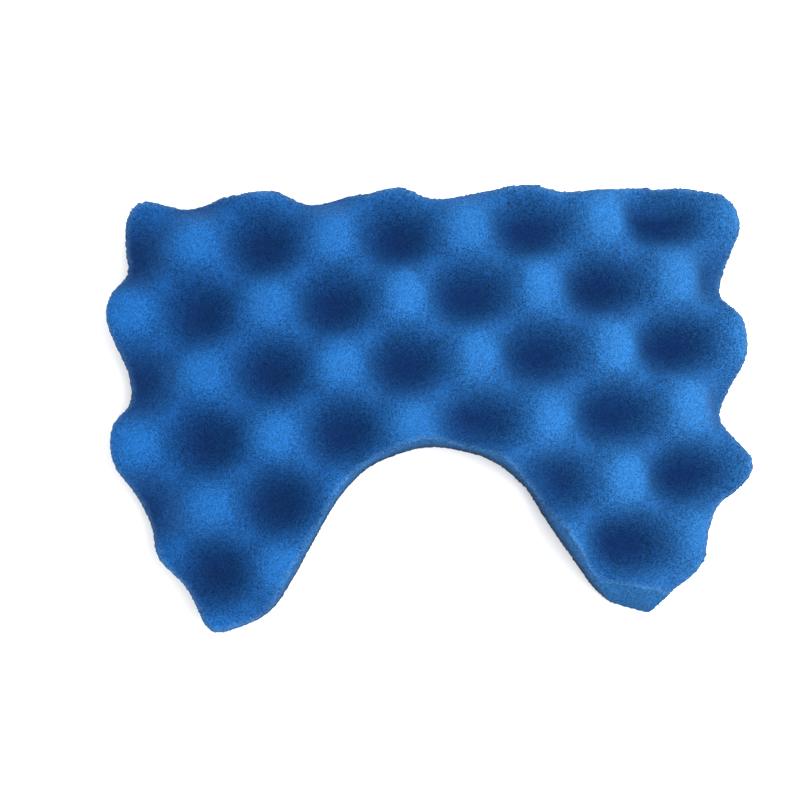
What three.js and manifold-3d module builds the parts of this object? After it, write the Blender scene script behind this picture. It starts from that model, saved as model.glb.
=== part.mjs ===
// Egg-crate filter foam: one die-cut pad of blue open-cell foam.
// Millimetres. +X runs along the long uncut side, +Y points at that side, +Z is up.
// The flat back lies on z = 0 and the domes face up.
import * as THREE from "three";
import { mergeVertices } from "three/addons/utils/BufferGeometryUtils.js";
import Module from "manifold-3d";

const wasm = await Module();
wasm.setup();

// ---- driving dimensions ----
const pitchX = 32; // dome to dome along the pad
const pitchY = 30.8; // dome to dome across the pad
const domeX = -54.3; // where one dome stands, which sets the whole pattern
const domeY = 40.1;
const domeTop = 21; // flat back to the top of a dome
const dimpleFloor = 7.6; // flat back to the floor of a dimple
const narrowing = 0.115; // makes the domes narrow and the dimples wide along X, the reverse along Y
const narrowingPerMm = 0.0019; // and more so towards +X
const leanX = 0.105; // the domes lean a little towards +X and -Y, per unit of height
const leanY = -0.03;
const stepsPerWave = 16; // mesh steps in one wave of the face
const wavesLong = 6; // size of the uncut sheet in whole waves, larger than the pad on every side
const wavesWide = 4;
const sheetUnder = 5; // how far the uncut sheet runs below the flat back
const cutterHeight = 40;
const outlineStep = 2.4; // spacing of the points along the cut edge

// ---- cut outline, clockwise as seen from above ----
// Every crest of the wavy edge is cut through the side of a dome, and every dip through a dimple.
const longSide = [
  [-69.8, 47.8], [-63.5, 51.5], [-55, 50.9], [-47.5, 52.4], [-42.5, 51.5],
  [-37.5, 51.2], [-32, 51.2], [-25.2, 49.1], [-17, 51.1], [-10.5, 50.1],
  [-4, 50.3], [6.8, 48.1], [15, 49.6], [28, 49.1], [41, 47.4],
  [51, 47.9], [58, 47],
];
const rightEnd = [
  [64.5, 47.2], [71.1, 43.9], [74.8, 38], [74.3, 30], [71.8, 21.5],
  [73.8, 11.6], [73.6, 5], [70.9, -3], [68.5, -8.6], [70.4, -15], [72.5, -20.8],
];
const rightLeg = [
  [70, -25.6], [64.5, -29.8], [60.7, -34.8], [59, -42], [56, -46.4], [52.2, -49.2],
];
const rightTip = [
  [48.9, -53.7], [44.4, -52.4], [40, -50.5],
];
const arch = [
  [36.2, -46.8], [31.1, -38.5], [26, -29.8], [21.2, -21], [14, -14.4],
  [6.5, -11.4], [-1, -10], [-9, -11.3], [-16.6, -14.3], [-23.8, -21],
  [-30.8, -31.3], [-36.4, -40], [-41.8, -46.6],
];
const leftTip = [
  [-48.5, -49.6], [-53.6, -50.2], [-56.6, -46.6],
];
const leftEnd = [
  [-61, -38.6], [-65.8, -31.8], [-68.4, -24], [-71.6, -16.6], [-74.7, -10],
  [-74.7, -2], [-71.7, 4.2], [-71.7, 10.5], [-73.5, 18.5], [-74.7, 25],
  [-72.6, 31.4], [-70.8, 36.6], [-71.2, 42.6],
];

// ---- sloping cuts on the end of the right leg ----
// Each one passes through a point on the flat back and leans in over the foam.
const tipCuts = [
  { x: 44.5, y: -52.3, facing: -109, lean: 13.5 },
  { x: 48.9, y: -53.7, facing: -80, lean: 18.8 },
];
const cutBlockSize = 60;

function degrees(value) {
  return (value * Math.PI) / 180;
}

// Height of the egg-crate face over the flat back. The sides are steep. The domes and dimples are
// round at the -X end and turn oval towards +X, domes across the pad and dimples along it.
function faceHeight(x, y) {
  const alongX = Math.cos((2 * Math.PI * (x - domeX)) / pitchX);
  const alongY = Math.cos((2 * Math.PI * (y - domeY)) / pitchY);
  const stretch = narrowing + narrowingPerMm * x;
  const wave = alongX * alongY + stretch * (alongX ** 2 - alongY ** 2);
  const steepened = Math.sin((Math.PI / 2) * wave);
  const middle = (domeTop + dimpleFloor) / 2;
  const swing = (domeTop - dimpleFloor) / 2;
  return middle + swing * steepened;
}

function toManifold(geometry) {
  const bare = new THREE.BufferGeometry();
  bare.setAttribute("position", geometry.getAttribute("position"));
  bare.setIndex(geometry.getIndex());
  const welded = mergeVertices(bare, 1e-4);
  const mesh = new wasm.Mesh({
    numProp: 3,
    vertProperties: new Float32Array(welded.getAttribute("position").array),
    triVerts: new Uint32Array(welded.getIndex().array),
  });
  return new wasm.Manifold(mesh);
}

function toGeometry(solid) {
  const mesh = solid.getMesh();
  const geometry = new THREE.BufferGeometry();
  geometry.setAttribute("position", new THREE.BufferAttribute(mesh.vertProperties, 3));
  geometry.setIndex(new THREE.BufferAttribute(mesh.triVerts, 1));
  geometry.computeVertexNormals();
  return geometry;
}

// The uncut sheet: waved above, and deeper than the pad so that the cutter makes the flat back.
function eggCrateSheet() {
  const length = wavesLong * pitchX;
  const width = wavesWide * pitchY;
  const stepsX = wavesLong * stepsPerWave;
  const stepsY = wavesWide * stepsPerWave;
  const sheet = new THREE.BoxGeometry(length, width, 2, stepsX, stepsY, 1);
  // Half-wave shifts keep the sheet over the pad and its mesh points on the dome tops.
  sheet.translate(domeX + 1.5 * pitchX, domeY - 1.5 * pitchY, 0);
  const position = sheet.getAttribute("position");
  for (let i = 0; i < position.count; i += 1) {
    const onFace = position.getZ(i) > 0;
    const x = position.getX(i);
    const y = position.getY(i);
    const height = faceHeight(x, y);
    const rise = height - dimpleFloor;
    if (onFace) {
      position.setXYZ(i, x + leanX * rise, y + leanY * rise, height);
    } else {
      position.setZ(i, -sheetUnder);
    }
  }
  return toManifold(sheet);
}

// Everything inside the cut outline, as a tall block that starts at the flat back.
function outlineBlock() {
  const corners = [
    ...longSide, ...rightEnd, ...rightLeg, ...rightTip, ...arch, ...leftTip, ...leftEnd,
  ].map(([x, y]) => new THREE.Vector3(x, y, 0));
  const edge = new THREE.CatmullRomCurve3(corners, true, "centripetal");
  const count = Math.round(edge.getLength() / outlineStep);
  const points = edge.getSpacedPoints(count).slice(0, count);
  const shape = new THREE.Shape(points.map((point) => new THREE.Vector2(point.x, point.y)));
  const block = new THREE.ExtrudeGeometry(shape, { depth: cutterHeight, bevelEnabled: false });
  return toManifold(block);
}

// A block standing outside one sloping cut.
function tipCutBlock(cut) {
  const block = new THREE.BoxGeometry(cutBlockSize, cutBlockSize, cutBlockSize);
  block.translate(cutBlockSize / 2, 0, 0);
  block.rotateY(degrees(-cut.lean));
  block.rotateZ(degrees(cut.facing));
  block.translate(cut.x, cut.y, 0);
  return toManifold(block);
}

function foamPad() {
  let solid = eggCrateSheet().intersect(outlineBlock());
  for (const cut of tipCuts) {
    solid = solid.subtract(tipCutBlock(cut));
  }
  return solid;
}

// Moves the pad so that its box is centred on x = 0, y = 0 and stands on z = 0.
function centred(geometry) {
  geometry.computeBoundingBox();
  const box = geometry.boundingBox;
  geometry.translate(-(box.min.x + box.max.x) / 2, -(box.min.y + box.max.y) / 2, -box.min.z);
  return geometry;
}

const foamBlue = new THREE.MeshStandardMaterial({
  color: new THREE.Color(0.12, 0.4, 0.76),
  roughness: 0.95,
  metalness: 0,
});

const pad = new THREE.Mesh(centred(toGeometry(foamPad())), foamBlue);
pad.name = "foam_pad";

const part = new THREE.Group();
part.name = "egg_crate_filter_foam";
part.add(pad);

export default part;
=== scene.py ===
import math

import bpy
import numpy as np
from mathutils import Matrix, Vector
from mathutils.bvhtree import BVHTree
from mathutils.kdtree import KDTree


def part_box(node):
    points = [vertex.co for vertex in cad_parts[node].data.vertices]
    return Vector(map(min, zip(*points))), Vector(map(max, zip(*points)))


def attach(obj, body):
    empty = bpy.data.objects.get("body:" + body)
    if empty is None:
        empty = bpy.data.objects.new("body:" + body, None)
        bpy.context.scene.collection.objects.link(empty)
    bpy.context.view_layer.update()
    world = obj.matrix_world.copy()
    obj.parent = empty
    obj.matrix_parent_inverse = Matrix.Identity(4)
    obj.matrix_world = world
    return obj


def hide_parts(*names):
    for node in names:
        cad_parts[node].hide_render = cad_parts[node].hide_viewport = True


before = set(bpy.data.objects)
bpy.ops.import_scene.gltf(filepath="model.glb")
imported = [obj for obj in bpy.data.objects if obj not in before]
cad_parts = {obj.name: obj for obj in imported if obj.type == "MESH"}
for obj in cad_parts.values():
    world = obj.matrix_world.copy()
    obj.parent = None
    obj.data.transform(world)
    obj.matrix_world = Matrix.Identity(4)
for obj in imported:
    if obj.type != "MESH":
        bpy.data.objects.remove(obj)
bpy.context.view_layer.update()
MM = 0.001
SEED = 11
BACK_FROM = 0.5  # a point that looks down more than this starts to count as the flat back
BACK_BLEND = 0.3

# ---- foam shape ----
VOXEL = 0.55 * MM
SOFTEN_ROUNDS = 3
SOFTEN_FACTOR = 0.5
FAIR_ROUNDS = 14  # more smoothing on the open face, away from the cuts
FAIR_FACTOR = 0.5
FAIR_FROM_CUT = 3 * MM  # where that smoothing has its full strength
CUT_BLEND = 0.5 * MM  # over which the colour goes from cut wall to face
CUT_FUZZ = 0.09 * MM  # how far torn cells stand out of a cut wall
FACE_FUZZ = 0.02 * MM
CUT_REACH = 1.6 * MM  # how far in from a cut the face is fuzzy
CUT_STEEPNESS = 0.327  # a packed face this upright or more belongs to a cut
LEANING_FROM = 0.1  # a cut that looks up this much or more is a sloping one
RIM_ON_FACE = 1.5 * MM  # how far the painted rim light, a pale line along a cut edge, reaches over the face
RIM_ON_WALL = 0.6 * MM  # and down the wall
CUT_LIGHT_REACH = 7 * MM  # how far in from a cut painted light makes the foam paler, most of all at the +X end
SLOPE_GAIN = 1.6  # how fast the grain strengthens as the face turns from level

# ---- foam look ----
# The right-hand blues belong to the +X end. The dome blue there is paler, painted light from that
# side; the dimple blue is paler at the -X end, painted light in the dimples there.
PEAK_BLUE = (0.008, 0.083, 0.278)
PEAK_BLUE_RIGHT = (0.019, 0.117, 0.325)
# the dimple blues are painted shade, darkest low in the dimples
DIMPLE_SHADE_BLUE = (0.0035, 0.022, 0.088)
DIMPLE_SHADE_BLUE_RIGHT = (0.0025, 0.018, 0.076)
WALL_BLUE = (0.012, 0.078, 0.220)
# painted shadow along the foot of the cut walls
WALL_FOOT_SHADOW = (0.012, 0.022, 0.036)
LEANING_LIT_BLUE = (0.008, 0.079, 0.232)  # the sloping cuts on the end of the right leg, painted lighter where they face up
BACK_BLUE = (0.008, 0.090, 0.290)
CUT_LIGHT_LIFT = (0.8, 0.8, 0.8)  # painted light: how far the foam beside a cut rises to the dome blue
# painted rim light along the cut edges
RIM_LIGHT_BLUE = (0.065, 0.150, 0.270)
CUT_LIGHT_SHARE = 0.65
LEANING_SHARE = 0.8
RIM_LIGHT_SHARE = 0.38
LIFT_STEPS = (  # share of the dome height, and how far the colour has risen from the painted shade of the dimples to the dome blue
    (0.37, 0.0), (0.42, 0.13), (0.50, 0.28), (0.62, 0.45), (0.74, 0.61), (0.86, 0.76), (1.0, 1.0),
)
FOOT_STEPS = ((0.0, 0.0), (0.15, 0.25), (0.6, 1.0))  # the same for a wall, from its foot of painted shadow
CELL = 0.26 * MM
TORN_GRAIN = 0.3 * MM
BLOTCH = 14 * MM
SPECKLE_STEPS = ((0.0, 0.45), (1.0, 1.55))  # each cell has its own brightness
SPECKLE_SHARE = ((0.0, 0.5), (0.5, 1.0))  # by slope
PORE_STEPS = ((0.15, 0.80), (0.6, 1.12))
BLOTCH_STEPS = ((0.35, 0.94), (0.65, 1.06))
BUMP_STRENGTH = 0.6
BUMP_DEPTH = 0.25 * MM
ROUGHNESS = 0.85
SPECULAR = 0.05
SHEEN = 0.03
SHEEN_ROUGHNESS = 0.5
SHEEN_BLUE = (0.1, 0.5, 1.0, 1)
TABLE_WHITE = (0.95, 0.95, 0.95, 1)
TABLE_ROUGHNESS = 0.9

# ---- light ----
ROOM_BAND = ((0.0, 0.8), (0.4, 1.0), (0.75, 0.8), (1.0, 0.7))
ROOM_STRENGTH = 1.7
WINDOW_PLACE = (0.20, -0.02, 0.40)
WINDOW_TARGET = (0, 0, 0.01)
WINDOW_SIZE = 0.40
WINDOW_POWER = 2.4

# ---- camera ----
CAMERA_OFFSET = (-16.6 * MM, -40.5 * MM, 340.1 * MM)  # from the middle of the flat back
AIM_OFFSET = (-7.5 * MM, 1.4 * MM, 10.0 * MM)
CAMERA_ROLL = math.radians(-4.09)
LENS_MM = 63.0
SENSOR_MM = 36

TABLE_REACH = 3.0
TABLE_GAP = 0.2 * MM  # the table lies this far below the pad


def middle_of_back():
    low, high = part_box("foam_pad")
    return Vector(((low[0] + high[0]) / 2, (low[1] + high[1]) / 2, low[2]))


def dome_top():
    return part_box("foam_pad")[1][2]


# ---- mesh of the pad ----
def softened_copy(node, name):
    """A copy of the node as an even mesh, with its cut edges rounded over."""
    pad = bpy.data.objects.new(name, node.data.copy())
    bpy.context.collection.objects.link(pad)
    remesh = pad.modifiers.new("even", "REMESH")
    remesh.mode = "VOXEL"
    remesh.voxel_size = VOXEL
    soften = pad.modifiers.new("soften", "SMOOTH")
    soften.factor = SOFTEN_FACTOR
    soften.iterations = SOFTEN_ROUNDS
    graph = bpy.context.evaluated_depsgraph_get()
    mesh = bpy.data.meshes.new_from_object(pad.evaluated_get(graph))
    pad.modifiers.clear()
    pad.data = mesh
    pad.data.name = name
    return pad


def points_of(mesh):
    flat = np.empty(len(mesh.vertices) * 3)
    mesh.vertices.foreach_get("co", flat)
    return flat.reshape(-1, 3)


def normals_of(mesh):
    flat = np.empty(len(mesh.vertices) * 3)
    mesh.vertices.foreach_get("normal", flat)
    return flat.reshape(-1, 3)


def packed_tilt(points):
    """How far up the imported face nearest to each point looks: 1 level, 0 upright, -1 below."""
    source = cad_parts["foam_pad"].data
    corners = [vertex.co for vertex in source.vertices]
    tree = BVHTree.FromPolygons(corners, [face.vertices[:] for face in source.polygons])
    tilt = [face.normal.z for face in source.polygons]
    return np.array([tilt[tree.find_nearest(Vector(point))[2]] for point in points])


def distance_to(points, chosen):
    """How far each point is from the nearest of the chosen points."""
    tree = KDTree(int(chosen.sum()))
    for index in np.flatnonzero(chosen):
        tree.insert(points[index], int(index))
    tree.balance()
    return np.array([tree.find(point)[2] for point in points])


def fair(mesh, points, weight):
    """Evens out the points, each by its own weight."""
    ends = np.empty(len(mesh.edges) * 2, dtype=np.int32)
    mesh.edges.foreach_get("vertices", ends)
    a, b = ends.reshape(-1, 2).T
    count = len(points)
    neighbours = np.bincount(a, minlength=count) + np.bincount(b, minlength=count)
    for _ in range(FAIR_ROUNDS):
        for axis in range(3):
            along = points[:, axis]
            total = np.bincount(a, along[b], count) + np.bincount(b, along[a], count)
            points[:, axis] = along + FAIR_FACTOR * weight * (total / neighbours - along)


def store(mesh, name, values):
    layer = mesh.attributes.new(name, "FLOAT", "POINT")
    layer.data.foreach_set("value", values.astype(np.float32))


def measures(mesh):
    """What is known about each point before the surface is broken up."""
    points = points_of(mesh)
    upward = normals_of(mesh)[:, 2] > 0
    tilt = packed_tilt(points)
    on_cut = abs(tilt) < CUT_STEEPNESS
    from_wall = distance_to(points, on_cut)
    from_face = distance_to(points, upward & ~on_cut)
    return upward, tilt, on_cut, from_wall, from_face


def share_near(distance, reach):
    """1 at no distance, falling to 0 at the reach."""
    return np.clip(1 - distance / reach, 0, 1)


def roughen(pad):
    """Breaks up the surface as cut open cells do, and stores what the material reads."""
    mesh = pad.data
    rng = np.random.default_rng(SEED)
    upward, tilt, on_cut, from_wall, from_face = measures(mesh)
    points = points_of(mesh)
    fair(mesh, points, upward * np.clip(from_wall / FAIR_FROM_CUT, 0, 1))
    mesh.vertices.foreach_set("co", points.ravel())
    mesh.update()
    normals = normals_of(mesh)
    on_back = np.clip((-normals[:, 2] - BACK_FROM) / BACK_BLEND, 0, 1)
    height = np.clip(points[:, 2] / dome_top(), 0, 1)
    noise = rng.normal(0, 1, len(points))
    fuzz = FACE_FUZZ + (CUT_FUZZ - FACE_FUZZ) * share_near(from_wall, CUT_REACH)
    points += normals * (noise * fuzz * (1 - on_back))[:, None]
    points[:, 2] = np.maximum(points[:, 2], 0)
    mesh.vertices.foreach_set("co", points.ravel())
    along = (points[:, 0] - points[:, 0].min()) / np.ptp(points[:, 0])
    rim_reach = np.where(on_cut, RIM_ON_WALL, RIM_ON_FACE)
    store(mesh, "height", height)
    store(mesh, "along", along)
    store(mesh, "on_face", np.clip(from_wall / CUT_BLEND, 0, 1) * upward)
    store(mesh, "on_back", on_back)
    # painted rim light along the cut edges
    store(mesh, "rim", share_near(np.maximum(from_wall, from_face), rim_reach))
    # the sloping cuts, painted lighter where they face up
    store(mesh, "leaning", on_cut * (tilt > LEANING_FROM))
    # painted light beside the cuts, strongest at the +X end
    store(mesh, "open", along * share_near(from_wall, CUT_LIGHT_REACH))
    store(mesh, "slope", np.clip(SLOPE_GAIN * (1 - normals[:, 2]), 0, 1))
    mesh.update()
    for polygon in mesh.polygons:
        polygon.use_smooth = True


# ---- materials ----
def node_of(tree, kind, **values):
    node = tree.nodes.new(kind)
    for key, value in values.items():
        if key in node.inputs:
            node.inputs[key].default_value = value
        else:
            setattr(node, key, value)
    return node


def math_node(tree, operation, a, b):
    node = tree.nodes.new("ShaderNodeMath")
    node.operation = operation
    for socket, value in zip(node.inputs, (a, b)):
        if isinstance(value, (int, float)):
            socket.default_value = value
        else:
            tree.links.new(value, socket)
    return node.outputs[0]


def attribute(tree, name):
    node = tree.nodes.new("ShaderNodeAttribute")
    node.attribute_name = name
    return node.outputs["Fac"]


def mix_colour(tree, factor, a, b):
    node = tree.nodes.new("ShaderNodeMix")
    node.data_type = "RGBA"
    for socket, value in ((node.inputs[0], factor), (node.inputs[6], a), (node.inputs[7], b)):
        if isinstance(value, (int, float)):
            socket.default_value = value
        elif isinstance(value, tuple):
            socket.default_value = (*value, 1)
        else:
            tree.links.new(value, socket)
    return node.outputs[2]


def ramp(tree, value, *stops):
    node = tree.nodes.new("ShaderNodeValToRGB")
    elements = node.color_ramp.elements
    while len(elements) < len(stops):
        elements.new(0.5)
    for element, (position, shade) in zip(elements, stops):
        element.position = position
        element.color = (shade, shade, shade, 1)
    tree.links.new(value, node.inputs[0])
    return node.outputs[0]


def multiplied(tree, colour, shade, amount):
    node = tree.nodes.new("ShaderNodeMix")
    node.data_type = "RGBA"
    node.blend_type = "MULTIPLY"
    if isinstance(amount, float):
        node.inputs[0].default_value = amount
    else:
        tree.links.new(amount, node.inputs[0])
    tree.links.new(colour, node.inputs[6])
    tree.links.new(shade, node.inputs[7])
    return node.outputs[2]


def face_colour(tree):
    """The domed face: deeper blue low down, painted shade in the dimples; paler beside the cuts
    and towards the ends, painted light.
    """
    along = attribute(tree, "along")
    lift = ramp(tree, attribute(tree, "height"), *LIFT_STEPS)
    daylight = math_node(tree, "MULTIPLY", attribute(tree, "open"), CUT_LIGHT_SHARE)
    lift = mix_colour(tree, daylight, lift, CUT_LIGHT_LIFT)
    top = mix_colour(tree, along, PEAK_BLUE, PEAK_BLUE_RIGHT)
    deep = mix_colour(tree, along, DIMPLE_SHADE_BLUE, DIMPLE_SHADE_BLUE_RIGHT)
    return mix_colour(tree, lift, deep, top)


def side_colour(tree):
    """The cut walls, with painted shadow dark at the foot and painted light on the sloping cuts,
    and the flat back.
    """
    foot = ramp(tree, attribute(tree, "height"), *FOOT_STEPS)
    wall = mix_colour(tree, foot, WALL_FOOT_SHADOW, WALL_BLUE)
    leaning = math_node(tree, "MULTIPLY", attribute(tree, "leaning"), LEANING_SHARE)
    wall = mix_colour(tree, leaning, wall, LEANING_LIT_BLUE)
    return mix_colour(tree, attribute(tree, "on_back"), wall, BACK_BLUE)


def grained(tree, colour, cells, patches):
    """The colour with bright and dark cells, dark pores and faint blotches over it."""
    tones = tree.nodes.new("ShaderNodeSeparateColor")
    tree.links.new(cells.outputs["Color"], tones.inputs[0])
    speckle = ramp(tree, tones.outputs[0], *SPECKLE_STEPS)
    speckle_share = ramp(tree, attribute(tree, "slope"), *SPECKLE_SHARE)
    pores = ramp(tree, cells.outputs["Distance"], *PORE_STEPS)
    blotch = ramp(tree, patches.outputs[0], *BLOTCH_STEPS)
    colour = multiplied(tree, colour, speckle, speckle_share)
    colour = multiplied(tree, colour, pores, 1.0)
    return multiplied(tree, colour, blotch, 1.0)


def foam_material():
    material = bpy.data.materials.new("blue_open_cell_foam")
    material.use_nodes = True
    tree = material.node_tree
    shader = tree.nodes["Principled BSDF"]
    place = tree.nodes.new("ShaderNodeTexCoord").outputs["Object"]
    cells = node_of(tree, "ShaderNodeTexVoronoi", Scale=1 / CELL, Randomness=1.0)
    cells.feature = "F1"
    torn = node_of(tree, "ShaderNodeTexNoise", Scale=1 / TORN_GRAIN, Detail=3.0, Roughness=0.6)
    patches = node_of(tree, "ShaderNodeTexNoise", Scale=1 / BLOTCH, Detail=2.0)
    for texture in (cells, torn, patches):
        tree.links.new(place, texture.inputs["Vector"])

    colour = mix_colour(tree, attribute(tree, "on_face"), side_colour(tree), face_colour(tree))
    # painted rim light along the cut edges
    rim = math_node(tree, "MULTIPLY", attribute(tree, "rim"), RIM_LIGHT_SHARE)
    colour = mix_colour(tree, rim, colour, RIM_LIGHT_BLUE)
    colour = grained(tree, colour, cells, patches)
    tree.links.new(colour, shader.inputs["Base Color"])

    relief = math_node(tree, "ADD", cells.outputs["Distance"], torn.outputs[0])
    bump = node_of(tree, "ShaderNodeBump", Strength=BUMP_STRENGTH, Distance=BUMP_DEPTH)
    tree.links.new(relief, bump.inputs["Height"])
    tree.links.new(bump.outputs[0], shader.inputs["Normal"])
    shader.inputs["Roughness"].default_value = ROUGHNESS
    shader.inputs["Specular IOR Level"].default_value = SPECULAR
    shader.inputs["Sheen Weight"].default_value = SHEEN
    shader.inputs["Sheen Roughness"].default_value = SHEEN_ROUGHNESS
    shader.inputs["Sheen Tint"].default_value = SHEEN_BLUE
    return material


def table_material():
    material = bpy.data.materials.new("white_table")
    material.use_nodes = True
    tree = material.node_tree
    shader = tree.nodes["Principled BSDF"]
    shader.inputs["Base Color"].default_value = TABLE_WHITE
    shader.inputs["Roughness"].default_value = TABLE_ROUGHNESS
    shader.inputs["Specular IOR Level"].default_value = 0.0
    return material


# ---- the scene ----
def make_pad():
    pad = softened_copy(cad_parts["foam_pad"], "foam_pad_soft")
    roughen(pad)
    pad.data.materials.clear()
    pad.data.materials.append(foam_material())
    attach(pad, "root")
    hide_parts("foam_pad")
    return pad


def make_table():
    mesh = bpy.data.meshes.new("table")
    sides = ((-1, -1), (1, -1), (1, 1), (-1, 1))
    corners = [(x * TABLE_REACH, y * TABLE_REACH, -TABLE_GAP) for x, y in sides]
    mesh.from_pydata(corners, [], [(0, 1, 2, 3)])
    table = bpy.data.objects.new("table", mesh)
    bpy.context.collection.objects.link(table)
    mesh.materials.append(table_material())


def area_light(name, place, target, size, power):
    data = bpy.data.lights.new(name, "AREA")
    data.shape = "DISK"
    data.size = size
    data.energy = power
    light = bpy.data.objects.new(name, data)
    bpy.context.collection.objects.link(light)
    light.location = place
    light.rotation_euler = (Vector(target) - Vector(place)).to_track_quat("-Z", "Y").to_euler()


def room_light():
    """An even room, a little brighter at a slant than low down or straight above."""
    world = bpy.data.worlds.new("room")
    bpy.context.scene.world = world
    world.use_nodes = True
    tree = world.node_tree
    direction = tree.nodes.new("ShaderNodeTexCoord").outputs["Generated"]
    parts = tree.nodes.new("ShaderNodeSeparateXYZ")
    tree.links.new(direction, parts.inputs[0])
    band = ramp(tree, parts.outputs["Z"], *ROOM_BAND)
    background = tree.nodes["Background"]
    tree.links.new(band, background.inputs["Color"])
    background.inputs["Strength"].default_value = ROOM_STRENGTH


def make_lights():
    area_light("window", WINDOW_PLACE, WINDOW_TARGET, WINDOW_SIZE, WINDOW_POWER)
    room_light()


def make_camera():
    data = bpy.data.cameras.new("camera")
    data.lens = LENS_MM
    data.sensor_width = SENSOR_MM
    camera = bpy.data.objects.new("camera", data)
    bpy.context.collection.objects.link(camera)
    middle = middle_of_back()
    place = middle + Vector(CAMERA_OFFSET)
    back = (place - (middle + Vector(AIM_OFFSET))).normalized()
    right = Vector((0, 1, 0)).cross(back).normalized()
    up = back.cross(right)
    turn = Matrix((right, up, back)).transposed() @ Matrix.Rotation(CAMERA_ROLL, 3, "Z")
    camera.matrix_world = Matrix.Translation(place) @ turn.to_4x4()
    bpy.context.scene.camera = camera


make_pad()
make_table()
make_lights()
make_camera()
bpy.context.scene.view_settings.view_transform = "Standard"
